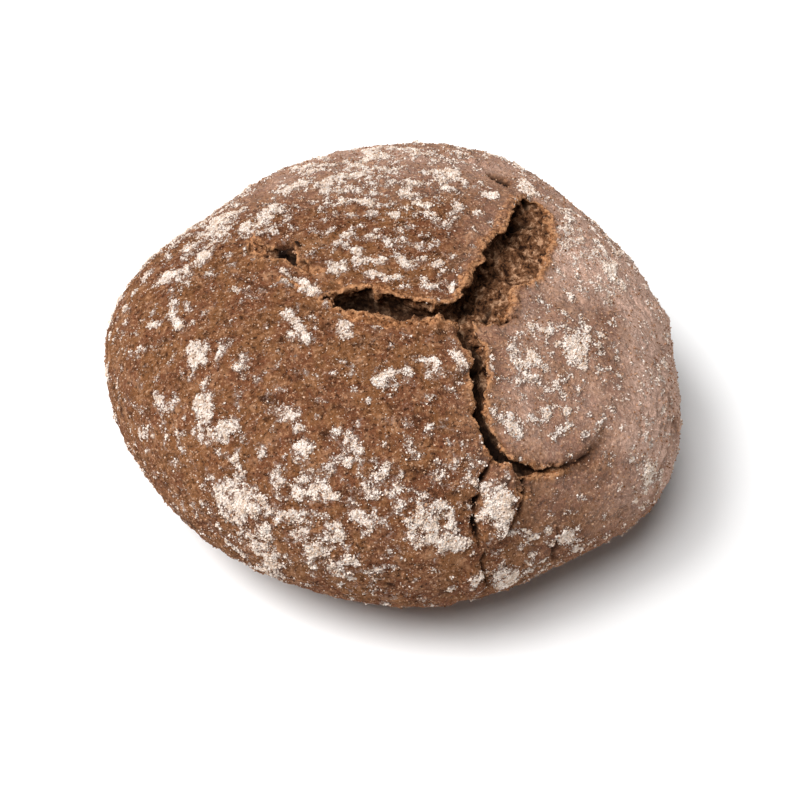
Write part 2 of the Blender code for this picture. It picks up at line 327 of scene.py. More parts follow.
# A raised or sunken mark that follows a path on the crust. Its edge falls off over `edge`, its width
# narrows to both ends, the more the higher `taper` is, and `toast` is how browned it is, from 0 to 1.
Mark = namedtuple("Mark", "width height edge taper toast path")
MARKS = (
    # the tears' rolled lips: north arm, left and right; west arm, below and above
    Mark(1.7, 0.6, 1.4, 0.3, 0.8,
         ((38, 31, 79), (35, 20, 81), (31.5, 7, 84), (27, 2, 85), (26.5, -6, 86))),
    Mark(1.6, 0.6, 1.4, 0.3, 0.8, ((26.5, -6, 86), (24, -11.5, 86), (21.5, -18, 87), (18.5, -24, 87))),
    Mark(0.4, 0.3, 0.8, 0.3, 0.8,
         ((46, 30, 77), (50.5, 25, 76), (50.5, 13, 78), (48.5, -1, 81), (45.5, -11, 82))),
    Mark(1.0, 0.3, 0.9, 0.3, 0.7,
         ((42, -12, 83), (38.5, -16, 84), (37, -23, 84), (37.5, -29, 84), (32, -34, 84))),
    Mark(2.2, 0.9, 1.8, 0.4, 0.85,
         ((-18, -28, 87), (-13, -30.5, 87), (-7, -32.8, 87), (0, -34.6, 87), (7, -35, 87))),
    Mark(1.6, 0.6, 1.4, 0.4, 0.8, ((4, -35, 87), (10, -34.5, 86), (16, -34.5, 86))),
    Mark(1.4, 0.3, 1.2, 0.4, 0.75,
         ((-17, -22, 88), (-9, -20.8, 88), (-2, -21.8, 88), (5, -24.5, 87), (13, -26, 87))),
    # the valley that carries the south arm on round the east side, and the line along its bottom
    Mark(4.5, -1.3, 4.5, 0.4, 0.0,
         ((43, -73, 64.5), (52, -69, 63), (57, -66, 63), (61, -61, 64), (62.5, -56, 66.5))),
    Mark(1.1, -0.9, 1.1, 0.5, 0.2, ((43, -73, 64.5), (52, -69, 63), (57, -66, 63), (60, -62.5, 63.5))),
    # the leaf-shaped flake's crisp upper layer, the grooves on both sides of it, and its rim at the east
    Mark(5.0, 1.9, 0.5, 0.6, 0.0,
         ((31.5, -73.5, 69), (31, -78, 65), (30, -82.5, 60.5), (27.5, -88, 51))),
    Mark(1.3, -2.6, 1.0, 0.3, 0.2,
         ((29, -73, 70), (26, -78, 68), (23.8, -83, 63), (23.5, -86.5, 58), (25, -89, 51))),
    Mark(1.0, -2.6, 0.8, 0.3, 0.0,
         ((35.6, -73, 67.5), (38.2, -77, 63.5), (38, -80, 59.5), (33.6, -86, 52))),
    Mark(0.7, 0.9, 0.5, 0.3, 0.6, ((33.2, -73, 68), (35.8, -77, 64), (35.6, -80, 60), (31.6, -86, 52))),
    # the fold under it, and a scale of crust beside that
    Mark(1.2, -2.2, 1.1, 0.5, 0.0,
         ((27, -88.5, 50), (26.7, -89.3, 45), (27.2, -89, 38), (28.4, -87, 29))),
    Mark(3.8, 1.5, 0.5, 0.5, 0.0, ((22.7, -91, 44), (23.2, -90.5, 37), (22, -90, 30.5))),
    # a crease and a ridge low on the front
    Mark(1.2, -2.2, 1.2, 0.5, 0.0,
         ((48.4, -78.8, 47), (48.1, -79.4, 41), (47.7, -79.1, 34), (50, -77, 29))),
    Mark(1.0, 1.2, 0.8, 0.5, 0.2, ((36.5, -76, 64.5), (39.7, -77.5, 61), (42, -78.5, 57.5))),
    # cracks at the west arm's end, and the stepped one beside the nick on the shoulder
    Mark(0.9, -1.5, 0.9, 0.5, 0.3,
         ((-28, -24.5, 86.5), (-24.5, -27, 86.5), (-22, -29, 86.5), (-19.5, -28.5, 87))),
    Mark(0.9, -1.0, 0.9, 0.5, 0.3, ((-21, -37, 86), (-19, -36, 86), (-17, -33.5, 86.5))),
    Mark(1.1, -2.2, 0.9, 0.5, 0.2,
         ((-30, -8, 87), (-27.4, -10, 87), (-24.3, -12.2, 87), (-21.5, -13.5, 87))),
    # that nick's hole, the torn hollow west of it, and the rim round both
    Mark(2.8, -3.8, 1.6, 0.4, 0.0, ((-36.5, -3.5, 85), (-33.5, -3.5, 86), (-31, -5, 86))),
    Mark(2.6, -1.8, 2.0, 0.4, 0.2, ((-43, 0.5, 84), (-39.5, -3.5, 85), (-36, -5.5, 86))),
    Mark(1.2, 0.7, 1.1, 0.3, 0.4,
         ((-40, 3.5, 85), (-34, 2.2, 86), (-30, 0, 86), (-28.8, -4.5, 87), (-32, -8, 87))),
    # the edge of the crust at the east, and the crease beside it
    Mark(1.0, -1.6, 0.8, 0.5, 0.5,
         ((83.9, -31.5, 54), (85.8, -32.5, 50), (86.5, -35.5, 47), (86.3, -39, 45))),
    Mark(0.9, -0.8, 0.9, 0.5, 0.0, ((64.7, -47.8, 69), (66.4, -50.4, 66.6), (67.6, -52.5, 64.6))),
    Mark(0.8, 0.9, 0.5, 0.4, 0.0, ((62.8, -19.5, 74), (70.2, -11.5, 70), (77.3, -3.4, 63), (84, 8, 52))),
    # a nick where the three arms meet
    Mark(1.2, -3.0, 1.0, 0.3, 0.8, ((29.5, -32.5, 85), (33.5, -31, 84), (37.5, -28.5, 83.5))),
    # a dent under the flour on the front plate
    Mark(2.4, -0.8, 2.2, 0.5, 0.0, ((-37, -55.5, 79), (-33, -59, 79), (-29.5, -62, 78))),
    # a burst blister behind the north arm, and a hole at its end
    Mark(4.0, -2.8, 1.8, 0.6, 0.5, ((31, 47, 76), (34.5, 44.5, 77), (37.5, 39, 77))),
    Mark(1.6, -3.0, 1.2, 0.4, 0.5, ((43.5, 25, 78), (46.2, 25, 77.6), (48, 23, 77))),
    # a scale of crust that stands proud by the south arm
    Mark(3.2, 1.6, 0.5, 0.5, 0.0, ((20.2, -42.9, 84.3), (19.6, -47.7, 83.3), (18.6, -52.3, 82.3))),
)
MARK_RAGGED = 0.7
# The nick on the shoulder: its inside is smoother than the other tears', and painted shade darkens it
# round its hole
NICK_CENTRE = np.array((-34.0, -4.0, 84.0))
NICK_HOLE = np.array((-33.0, -3.8, 83.5))
# The narrow south arm's middle line, seen from above, and how far back its walls are moved
SOUTH_SLOT = ((21.5, -33), (21.8, -40), (24.3, -43.5), (25, -61), (28.5, -69.5), (31, -72), (38, -74))
SLOT_WIDENING = 0.9


def path_distance(points, path):
    """Each point's distance to a path of straight pieces, and how far along it the nearest place is."""
    path = np.array(path, float)
    lengths = np.linalg.norm(np.diff(path, axis=0), axis=1)
    travelled = np.concatenate(([0], np.cumsum(lengths)))
    nearest, along = np.full(len(points), np.inf), np.zeros(len(points))
    for start, end, length, before in zip(path, path[1:], lengths, travelled):
        t = np.clip((points - start) @ (end - start) / length**2, 0, 1)
        distance = np.linalg.norm(points - start - t[:, None] * (end - start), axis=1)
        closer = distance < nearest
        nearest[closer] = distance[closer]
        along[closer] = (before + t[closer] * length) / travelled[-1]
    return nearest, along


def mark_relief(points, crust_tree):
    """The height that the marks add at each point, and how browned they are there."""
    height, toast = np.zeros(len(points)), np.zeros(len(points))
    wobble = MARK_RAGGED * fractal(points, 2.6, 120, 2, 0.7)
    for mark in MARKS:
        path = [crust_tree.find_nearest(place)[0] for place in mark.path]
        distance, along = path_distance(points, path)
        inside = mark.width * np.sin(pi * np.clip(along, 0.02, 0.98)) ** mark.taper - distance + wobble
        height += mark.height * ramp(inside, 0, mark.edge)
        toast = np.maximum(toast, mark.toast * ramp(inside, -0.8, 0.4))
    return height, toast


def slot_widening(points, side):
    """How far the south arm's walls stand back, so that their raggedness leaves it open."""
    distance, _ = path_distance(points[:, :2], SOUTH_SLOT)
    return SLOT_WIDENING * (1 - ramp(distance, 1.5, 3.5)) * ramp(side, -0.8, 0.4)


def ring_wave(points):
    """1 on the crests of the basket's rings and -1 between them."""
    away = np.linalg.norm(points - RING_CENTRE, axis=1)
    return np.cos(2 * pi * (away - RING_START) / RING_SPACING)


def ring_share(points):
    """How well the rings show: on the back, the west shoulder and the top plate."""
    behind = ramp(points[:, 1] * 0.8 - points[:, 0] * 0.5, -12, 30)
    above = ramp(points[:, 2], 78, 84) * ramp(points[:, 1], -26, -16)
    return np.maximum(behind, above)


def crust_height(points):
    """The crust's own unevenness."""
    lumps = 0.5 * fractal(points, 11, 10, 2) + 0.55 * fractal(points, 4.2, 14, 2)
    grain = 0.35 * fractal(points, 2.1, 20, 2, 0.75)
    rings = RING_HEIGHT * ring_wave(points + 2.0 * noise_vectors(points, 14, 24)) * ring_share(points)
    edge_folds = np.exp(-(((points - EDGE_FOLDS_CENTRE) / EDGE_FOLDS_REACH) ** 2).sum(axis=1))
    away = np.linalg.norm(points - RING_CENTRE, axis=1)
    folds = 0.6 * np.cos(2 * pi * away / EDGE_FOLDS_SPACING) * edge_folds
    cracks = 1 - ramp(abs(noise(points, 5.0, 26)), 0.0, 0.09)
    cracks *= ramp(noise(points, 17, 27), 0.0, 0.25)
    return lumps + grain + rings + folds - 0.6 * cracks


def crumb_height(points):
    """Torn crumb: lumps and strands, with pores of several sizes."""
    lumps = 3.0 * fractal(points, 5.4, 30, 3, 0.6)
    pores = -1.8 * (1 - ramp(cell_distance(points, 4.2, 40), 0.15, 0.5))
    pores -= 0.7 * (1 - ramp(cell_distance(points, 2.4, 44), 0.2, 0.5))
    return (lumps + pores + 0.4) * ramp(np.linalg.norm(points - NICK_CENTRE, axis=1), 5, 11)


def rim_height(points, side):
    """The crust's edge, rolled up unevenly along each tear."""
    bead = np.exp(-(((side + 1.0) / 1.2) ** 2))
    return bead * (0.3 + 1.2 * fractal(points, 3.4, 56, 2))


def roughened(skin, height):
    """The points moved out or in by this height, and the tears' lips made ragged."""
    at_lip = np.exp(-((skin.side / 2.4) ** 2))
    ragged = 1.2 * noise_vectors(skin.points, 4.6, 50) + 0.6 * noise_vectors(skin.points, 1.9, 54)
    shift = skin.normals * height[:, None] + ragged * np.maximum(at_lip, 0.5 * skin.inside)[:, None]
    return skin.points + shift * ramp(skin.points[:, 2], *BASE_FADE)[:, None]


# ---------------------------------------------------------------- flour

# A patch of flour: where its middle is, seen from GLOBE_CENTRE in degrees, its half sizes, the angle of
# its long axis from the level in degrees, and how thick it lies from 0 to 1
Patch = namedtuple("Patch", "azimuth elevation length width turn strength")
PATCHES = (
    # the west flank
    Patch(182, 31, 6, 3.5, -70, 0.9),
    Patch(178, 37, 4, 3, 85, 0.85),
    Patch(196, 27, 3, 2, 40, 0.8),
    Patch(199, 32, 9, 2, 0, 0.85),
    Patch(217, 36, 4, 2.5, -25, 0.7),
    Patch(214, 31, 6, 3, -25, 0.85),
    Patch(227, 35, 4, 1.5, -5, 0.7),
    Patch(226, 26, 7, 4, -45, 0.95),
    Patch(233, 25, 4, 3, 20, 0.8),
    Patch(216, 22, 7, 4, 26, 0.55),
    Patch(214, 13, 5, 3, 45, 0.6),
    # the shoulder between the nick and the west arm
    Patch(244, 32, 7, 2, -25, 0.85),
    Patch(213, 58, 9, 2, 7, 1.0),
    Patch(229, 59, 5, 2, -11, 1.0),
    Patch(227, 50, 7, 2, -23, 1.0),
    Patch(236, 47, 4, 2, -27, 0.9),
    # the front plate, below the west arm
    Patch(250, 53, 4, 3, -20, 1.0),
    Patch(263, 55, 2.5, 2, 0, 1.0),
    Patch(274, 53, 2, 1.5, 80, 0.4),
    Patch(258, 43, 3, 2, -75, 0.6),
    Patch(269, 42, 6, 3.5, 15, 0.75),
    Patch(275, 44, 2.5, 2, 80, 0.6),
    Patch(283, 43, 3, 2.5, 50, 0.7),
    Patch(292, 44, 5, 2, 85, 0.95),
    # broken rows on the top plate
    Patch(168, 75, 4, 1.5, -85, 0.7),
    Patch(329, 89, 8, 1.5, -65, 0.6),
    Patch(196, 76, 3, 2, 70, 0.9),
    Patch(245, 80, 4, 2, 25, 0.95),
    Patch(299, 78, 3, 2, -25, 0.85),
    Patch(325, 72, 2.5, 2, 20, 1.0),
    Patch(218, 69, 3.5, 2, 50, 1.0),
    Patch(254, 72, 4, 1.5, -5, 0.9),
    Patch(302, 66, 2.5, 2, 50, 1.0),
    Patch(314, 62, 3, 2, -25, 0.95),
    # the back of the top plate, and the spot at the north arm's end
    Patch(65, 47, 5, 3, -75, 0.8),
    Patch(55, 70, 4, 3, -75, 0.6),
    Patch(44, 47, 5, 3, -75, 0.7),
    Patch(40, 35, 5, 3, -60, 0.95),
    # the east plate
    Patch(314, 39, 6, 5, -15, 0.6),
    Patch(329, 33, 8, 4, 20, 0.95),
    Patch(307, 36, 4, 3, -15, 0.5),
    Patch(298, 29, 5, 5, 35, 0.6),
    Patch(329, 49, 2, 1.5, 0, 0.8),
    Patch(24, 33, 14, 2, -40, 0.75),
    Patch(14, 37, 9, 2, -22, 0.65),
    Patch(6, 28, 7, 2.5, 19, 0.75),
    Patch(2, 25, 9, 2, -40, 0.65),
    Patch(327, 22, 3, 2, -15, 0.6),
    Patch(323, 7, 7, 4, -77, 1.0),
    # low on the front
    Patch(240, 14, 9.5, 6.5, 20, 0.95),
    Patch(246, 7, 8, 5, 65, 0.62),
    Patch(247, -2, 9, 4, 70, 0.75),
    Patch(243, 25, 3, 3, 10, 0.5),
    Patch(251, 27, 4, 4, -50, 0.6),
    Patch(248, 21, 4, 2.5, 15, 0.7),
    Patch(255, 21, 6, 4, 10, 0.6),
    Patch(260, 28, 5, 4, -80, 0.75),
    Patch(268, 23, 6, 5, 0, 0.7),
    Patch(273, 30, 3, 3, 5, 0.6),
    Patch(277, 16, 8, 6, -85, 1.0),
    Patch(282, 11, 6, 3, -10, 1.0),
    Patch(252, 15, 4, 2.5, 20, 0.6),
    Patch(257, 11, 9, 6, 75, 0.62),
    Patch(262, 6, 6, 5, 40, 0.62),
    Patch(263, 18, 6, 4, 10, 0.5),
    Patch(290, 17, 10, 4.5, 88, 1.0),
    Patch(291, -1, 9, 4, -70, 0.9),
    Patch(285, 2, 5, 4, -80, 0.6),
    Patch(295, 8, 5, 3, -60, 0.6),
    Patch(304, 3, 6, 3, -70, 0.85),
    Patch(286, 22, 3, 2, 75, 0.7),
    Patch(282, 24, 3, 3, 0, 0.5),
)
# Wide regions with thinner flour, whose crumbs lie between the patches
DUSTINGS = (
    Patch(94, 61, 24, 20, -17, 0.42),
    Patch(267, 81, 17, 14, 5, 0.24),
    Patch(172, 37, 18, 10, 23, 0.16),
    Patch(87, 36, 24, 10, -1, 0.32),
    Patch(151, 30, 34, 12, 29, 0.32),
    Patch(262, 17, 36, 20, 19, 0.25),
    Patch(244, 9, 20, 12, 62, 0.3),
    Patch(229, 21, 16, 13, 18, 0.22),
    Patch(318, 33, 24, 20, 10, 0.36),
    Patch(12, 31, 34, 17, -37, 0.34),
    Patch(337, 12, 28, 13, 10, 0.18),
    Patch(324, 7, 18, 12, -77, 0.12),
    Patch(302, 1, 18, 11, -28, 0.3),
)
LEAST_FLOUR = 0.01  # a trace lies everywhere
FLOUR_THICKNESS = 0.35
FLOUR_COVERS = 0.62  # the amount of flour above which it hides the crust
CLUMPS_FINE = 2.2  # how strongly fine and coarser noise break the flour up
CLUMPS_COARSE = 1.4
BACK_PATCHES = 60
BACK_SEED = 11


def random_patches():
    """More patches, scattered round the back, where they are as uneven as those in front."""
    rng = np.random.default_rng(BACK_SEED)
    for _ in range(BACK_PATCHES):
        length = rng.uniform(2, 8)
        yield Patch(
            azimuth=rng.uniform(35, 185),
            elevation=rng.uniform(-5, 50),
            length=length,
            width=length * rng.uniform(0.35, 0.9),
            turn=rng.uniform(-90, 90),
            strength=rng.uniform(0.5, 1.0),
        )


def patch_frame(patch, crust_tree):
    """A patch's middle on the crust and its three axes: along it, across it and off the crust."""
    azimuth, elevation, turn = radians(patch.azimuth), radians(patch.elevation), radians(patch.turn)
    outward = Vector((cos(azimuth) * cos(elevation), sin(azimuth) * cos(elevation), sin(elevation)))
    middle, normal, _, _ = crust_tree.ray_cast(GLOBE_CENTRE, outward)
    if middle is None:
        middle, normal, _, _ = crust_tree.find_nearest(GLOBE_CENTRE + outward * GLOBE_RADIUS)
    east = Vector((-sin(azimuth), cos(azimuth), 0))
    east = (east - normal * east.dot(normal)).normalized()
    north = normal.cross(east)
    along = east * cos(turn) + north * sin(turn)
    return middle, along, normal.cross(along), normal


def flour_density(points, crust_tree):
    """How much flour has settled around each point, from 0 to 1."""
    wandering = points + 2.2 * noise_vectors(points, 6.5, 60) + 1.0 * noise_vectors(points, 2.6, 64)
    rows = ramp(ring_wave(wandering), 0.3, 0.95) * ring_share(points)
    rows *= ramp(noise(points, 5.5, 70), -0.1, 0.25) * (1 - 0.4 * ramp(points[:, 1], 20, 50))
    bare = 1 - np.maximum(0.6 * rows, LEAST_FLOUR)
    for patch in [*PATCHES, *DUSTINGS, *random_patches()]:
        middle, along, across, normal = (np.array(v) for v in patch_frame(patch, crust_tree))
        near = np.linalg.norm(points - middle, axis=1) < 1.6 * patch.length + 4  # it ends before that
        offset = wandering[near] - middle
        share = np.stack(
            [offset @ along / patch.length, offset @ across / patch.width, offset @ normal / patch.length]
        )
        reach = np.sqrt((share**2).sum(axis=0))
        bare[near] *= 1 - patch.strength * (1 - ramp(reach, 0.3, 1.5))
    return 1 - bare


def flour_amount(points, side, crust_tree):
    """The flour gathered in clumps: it hides the crust above FLOUR_COVERS."""
    density = flour_density(points, crust_tree)
    clumps = (0.9 - 0.5 * density**3) * fractal(points, 3.8, 100, 3, 0.7)
    return (density + clumps) * (1 - ramp(side, -1.4, 0.2))


def dust_and_painted_light_amount(points, side):
    """A thin film of flour dust: thickest on the back of the top, thin on the east, thinner elsewhere.
    Towards the east edge it is also painted light, laid on thicker to stand for the light on that side.
    """
    x, y, z = points.T
    back = 0.65 * ramp(y, 12, 55) * ramp(z, 35, 68)
    # on the east the film is partly painted light, most of all near the east edge
    east = (0.55 * ramp(x, 12, 42) + 1.2 * ramp(x, 62, 85)) * ramp(y, -92, -58) * ramp(z, 10, 52)
    east *= 1 - 0.6 * ramp(y, 15, 50)
    upper_east = 0.55 * ramp(x, 38, 55) * ramp(y, -25, 10) * ramp(z, 35, 60)
    patchy = 0.75 + 0.5 * fractal(points, 16, 80, 3)
    return np.clip(np.maximum(back, east + upper_east) * patchy, 0, 1) * (1 - ramp(side, -2.5, -0.5))


# ---------------------------------------------------------------- materials


def new_node(tree, kind, inputs=(), **settings):
    """A shader node with its settings made and its inputs set or linked."""
    node = tree.nodes.new(kind)
    for name, value in settings.items():
        setattr(node, name, value)
    for name, value in dict(inputs).items():
        if isinstance(value, bpy.types.NodeSocket):
            tree.links.new(value, node.inputs[name])
        else:
            node.inputs[name].default_value = value
    return node


class Painter:
    """Builds the patterns of one material."""

    def __init__(self, name):
        self.material = bpy.data.materials.new(name)
        self.material.use_nodes = True
        self.tree = self.material.node_tree
        self.shader = self.tree.nodes["Principled BSDF"]
        self.places = new_node(self.tree, "ShaderNodeTexCoord").outputs["Object"]

    def noise(self, spacing, detail=2.0, roughness=0.5, distortion=0.0):
        """Noise from 0 to 1, mostly near a half, with bumps this many millimetres apart."""
        inputs = {
            "Vector": self.places,
            "Scale": 1 / (spacing * MM),
            "Detail": detail,
            "Roughness": roughness,
            "Distortion": distortion,
        }
        return new_node(self.tree, "ShaderNodeTexNoise", inputs).outputs["Fac"]

    def ridges(self, spacing, width):
        """Thin winding ridges, 1 on their crests, where swirling noise crosses a half."""
        away = self.math("ABSOLUTE", self.math("SUBTRACT", self.noise(spacing, 2, 0.5, 1.5), 0.5))
        return self.ramp(away, width, 0)

    def mask(self, name):
        """A number that the mesh carries for each of its points."""
        return new_node(self.tree, "ShaderNodeAttribute", attribute_name=name).outputs["Fac"]

    def math(self, operation, *values):
        node = new_node(self.tree, "ShaderNodeMath", operation=operation)
        self.fill(node.inputs, values)
        return node.outputs[0]

    def ramp(self, value, low, high):
        """0 below low, 1 above high, and smooth between; low and high may be sockets."""
        inputs = {"Value": value, "From Min": low, "From Max": high}
        node = new_node(self.tree, "ShaderNodeMapRange", inputs, interpolation_type="SMOOTHSTEP")
        return node.outputs["Result"]

    def mix(self, share, first, second):
        """One colour blended into another."""
        node = new_node(self.tree, "ShaderNodeMix", data_type="RGBA")
        self.fill([node.inputs[0], node.inputs[6], node.inputs[7]], (share, first, second))
        return node.outputs[2]

    def blend(self, share, first, second):
        """One number blended into another."""
        node = new_node(self.tree, "ShaderNodeMix", data_type="FLOAT")
        self.fill([node.inputs[0], node.inputs[2], node.inputs[3]], (share, first, second))
        return node.outputs[0]

    def torn_edge(self, name, fine):
        """A mask whose blurred edge is made crisp and ragged by fine noise."""
        return self.ramp(self.math("MULTIPLY_ADD", fine, 1.6, self.mask(name)), 1.15, 1.45)

    def fill(self, sockets, values):
        for socket, value in zip(sockets, values):
            if isinstance(value, bpy.types.NodeSocket):
                self.tree.links.new(value, socket)
            else:
                socket.default_value = value

    def bump(self, height, depth):
        """Fine relief this many millimetres deep."""
        inputs = {"Height": height, "Distance": depth * MM}
        normal = new_node(self.tree, "ShaderNodeBump", inputs).outputs["Normal"]
        self.tree.links.new(normal, self.shader.inputs["Normal"])

    def colour(self, socket):
        self.tree.links.new(socket, self.shader.inputs["Base Color"])

    def finish(self, **values):
        for name, value in values.items():
            self.shader.inputs[name.replace("_", " ")].default_value = value
        return self.material


CRUST_DARK = (0.040, 0.013, 0.005, 1)
CRUST_RED = (0.168, 0.059, 0.026, 1)
CRUST_OCHRE = (0.208, 0.084, 0.031, 1)
CRUST_LIGHT = (0.43, 0.22, 0.115, 1)
CRUST_SPECK = (0.68, 0.45, 0.31, 1)
TOAST_DARK = (0.050, 0.014, 0.004, 1)
TOAST = (0.25, 0.098, 0.037, 1)
TOAST_LIGHT = (0.60, 0.30, 0.145, 1)
CRUMB_DARK = (0.020, 0.007, 0.003, 1)
CRUMB_MID = (0.15, 0.064, 0.028, 1)
CRUMB_LIGHT = (0.52, 0.30, 0.175, 1)
SHADE = (0.010, 0.004, 0.002, 1)
# pale dust, which on the east side is also painted light
DUST_AND_PAINTED_LIGHT_COLOUR = (0.74, 0.49, 0.385, 1)
FLOUR_THIN = (0.50, 0.355, 0.285, 1)
FLOUR = (0.90, 0.815, 0.75, 1)
GRAIN_DARK = (0.62, 0.47, 0.36, 1)
GRAIN_LIGHT = (0.90, 0.80, 0.72, 1)
BRAN_DARK = (0.19, 0.08, 0.035, 1)
BRAN_LIGHT = (0.50, 0.30, 0.19, 1)


def crust_colour(paint, relief, wrinkles):
    """Brown crust in blotches, with pale wrinkles and a few pale specks. Its furrows are painted shade
    and its crests painted light, after the same noise that bumps it.
    """
    crust = paint.mix(paint.ramp(paint.noise(9.0, 3, 0.6), 0.42, 0.58), CRUST_RED, CRUST_OCHRE)
    blotches = paint.noise(5.0, 4, 0.62)
    crust = paint.mix(paint.ramp(blotches, 0.52, 0.77), crust, CRUST_LIGHT)
    crust = paint.mix(paint.ramp(blotches, 0.48, 0.27), crust, CRUST_DARK)
    # painted shade in the bump's furrows, then painted light on its crests
    crust = paint.mix(paint.ramp(relief, 0.48, 0.33), crust, CRUST_DARK)
    crust = paint.mix(paint.ramp(relief, 0.53, 0.69), crust, CRUST_LIGHT)
    crust = paint.mix(paint.math("MULTIPLY", wrinkles, 0.5), crust, CRUST_LIGHT)
    return paint.mix(paint.ramp(paint.noise(0.9, 2, 0.6), 0.62, 0.72), crust, CRUST_SPECK)


def toast_colour(paint, relief):
    """The browned edges of the torn crust."""
    toast = paint.mix(paint.ramp(relief, 0.46, 0.66), TOAST, TOAST_LIGHT)
    return paint.mix(paint.ramp(relief, 0.47, 0.33), toast, TOAST_DARK)


def crumb_colour(paint, relief):
    """Torn crumb: brown, with painted light on its lumps and painted shade in its hollows, after the same
    noise that bumps it.
    """
    # painted light on the bump's lumps, then painted shade in its hollows
    crumb = paint.mix(paint.ramp(relief, 0.50, 0.64), CRUMB_MID, CRUMB_LIGHT)
    return paint.mix(paint.ramp(relief, 0.5, 0.38), crumb, CRUMB_DARK)


def floured(paint, look):
    """The look under its flour, and how fully the flour covers it.

    Flour lies in clumps with pinholes and a thin film of dust round them. The crust among them is darker:
    painted shade of the furrows between the clumps.
    """
    amount = paint.mask("flour")
    excess = paint.math("MULTIPLY_ADD", paint.noise(0.9, 4, 0.72), CLUMPS_FINE, amount)
    excess = paint.math("MULTIPLY_ADD", paint.noise(2.2, 3, 0.65), CLUMPS_COARSE, excess)
    excess = paint.math("SUBTRACT", excess, FLOUR_COVERS + (CLUMPS_FINE + CLUMPS_COARSE) / 2)
    excess = paint.math("MULTIPLY_ADD", paint.ramp(amount, 0.22, 0.0), -0.4, excess)
    # painted shade: the crust darker among the flour
    look = paint.mix(paint.math("MULTIPLY", paint.ramp(amount, 0.1, 0.6), 0.5), look, CRUST_DARK)
    speckled = paint.blend(paint.ramp(paint.noise(0.9, 3, 0.6), 0.42, 0.62), 0.62, 1.0)
    # the dust film, which on the east side is also painted light
    dust_film_and_painted_light = paint.math("MULTIPLY", paint.mask("dust_and_painted_light"), speckled)
    dust_film_and_painted_light = paint.math("MAXIMUM", dust_film_and_painted_light, paint.math("MULTIPLY", paint.ramp(excess, -0.35, 0.1), 0.35))
    look = paint.mix(dust_film_and_painted_light, look, DUST_AND_PAINTED_LIGHT_COLOUR)
    cover = paint.ramp(excess, 0.0, 0.16)
    flour = paint.mix(paint.ramp(excess, 0.0, 0.45), FLOUR_THIN, FLOUR)
    return paint.mix(cover, look, flour), cover


def crust_material():
    """Crust, toasted lips, torn crumb and flour, blended by the masks that the mesh carries, with painted
    shade in creases, pores, deep hollows and furrows, and painted light on crests and towards the east.
    """
    paint = Painter("rye_crust_look")
    relief = paint.noise(1.4, 4, 0.66)
    lumps = paint.noise(2.6, 6, 0.72)
    fine = paint.noise(1.2, 3, 0.7)
    wrinkles = paint.ridges(1.5, 0.035)
    browned = paint.math("MULTIPLY_ADD", paint.noise(2.6, 4, 0.7), 2.6, paint.mask("toast"))
    edge = paint.math("MULTIPLY", paint.mask("lip"), paint.ramp(fine, 0.34, 0.54))
    opened = paint.torn_edge("crumb", fine)
    crust = crust_colour(paint, relief, wrinkles)
    look = paint.mix(paint.ramp(browned, 1.5, 2.25), crust, toast_colour(paint, fine))
    look = paint.mix(edge, look, TOAST_LIGHT)
    # painted shade in the marks' creases
    look = paint.mix(paint.mask("crease"), look, CRUST_DARK)
    look = paint.mix(opened, look, crumb_colour(paint, lumps))
    # painted shade: near black in the crumb's pores, deep creases, shut-in parts of the tears and the
    # nick's hole
    look = paint.mix(paint.mask("painted_shade"), look, SHADE)
    look, cover = floured(paint, look)
    paint.colour(look)
    rough = paint.blend(opened, paint.math("MULTIPLY_ADD", wrinkles, 0.12, relief), lumps)
    paint.bump(paint.math("MULTIPLY_ADD", cover, 0.3, rough), 1.1)
    return paint.finish(Roughness=0.85, Specular_IOR_Level=0.1)


def grain_material(name, dark, light):
    """Loose grains, a little uneven in colour."""
    paint = Painter(name)
    paint.colour(paint.mix(paint.ramp(paint.noise(1.5), 0.35, 0.65), dark, light))
    paint.bump(paint.noise(0.1), 0.05)
    return paint.finish(Roughness=0.95, Specular_IOR_Level=0.1)


# ---------------------------------------------------------------- pieces


def add_mask(mesh, name, values):
    """Stores one number for each of the mesh's points, for the material to read."""
    mesh.attributes.new(name, "FLOAT", "POINT").data.foreach_set("value", values.astype(np.float32))


def read_mask(mesh, name):
    values = np.empty(len(mesh.vertices), np.float32)
    mesh.attributes[name].data.foreach_get("value", values)
    return values.astype(np.float64)


def thinned(piece, kept):
    """Takes triangles away down to the limit, but none where the mesh is to be kept."""
    group = piece.vertex_groups.new(name="plain")
    group.add(np.flatnonzero(~kept).tolist(), 1.0, "REPLACE")
    thin = piece.modifiers.new("thin", "DECIMATE")
    thin.ratio = MOST_TRIANGLES / (2 * len(piece.data.polygons))
    thin.use_collapse_triangulate = True
    thin.vertex_group = group.name
    apply_modifiers(piece)


# What is known of each point: its place and normal, how far past a tear's lip it lies, how far it counts
# as inside the tear, how much open air it sees, and how much the marks raise and brown it
Skin = namedtuple("Skin", "points normals side inside air creases browned")


def measured_skin(mesh, solid, crust_tree, tear_tree):
    """Smooths the fine mesh's crust, keeps its base level, and measures every point."""
    points = read_vectors(mesh.vertices, "co")
    side = tear_side(points, crust_tree, tear_tree)
    points = smoothed(points, mesh, ramp(-side, 0.5, 3.0) * SMOOTHING_SHARE, SMOOTHING_ROUNDS)
    points[:, 2] = np.maximum(points[:, 2], 0)
    write_places(mesh, points)
    normals = read_vectors(mesh.vertex_normals, "vector")
    air = open_air(points, normals, side, solid)
    return Skin(points, normals, side, ramp(side, 0.2, 1.6), air, *mark_relief(points, crust_tree))


def shade(skin):
    """How dark each point is because it lies deep in a crease, a tear or the nick's hole."""
    hole = np.linalg.norm(skin.points - NICK_HOLE, axis=1) + noise(skin.points, 2.6, 130)
    deep = np.maximum(ramp(-skin.creases, 1.5, 2.7), 1 - ramp(skin.air, 0.15, 0.55))
    return np.maximum(deep, 1 - ramp(hole, 3.1, 4.0))


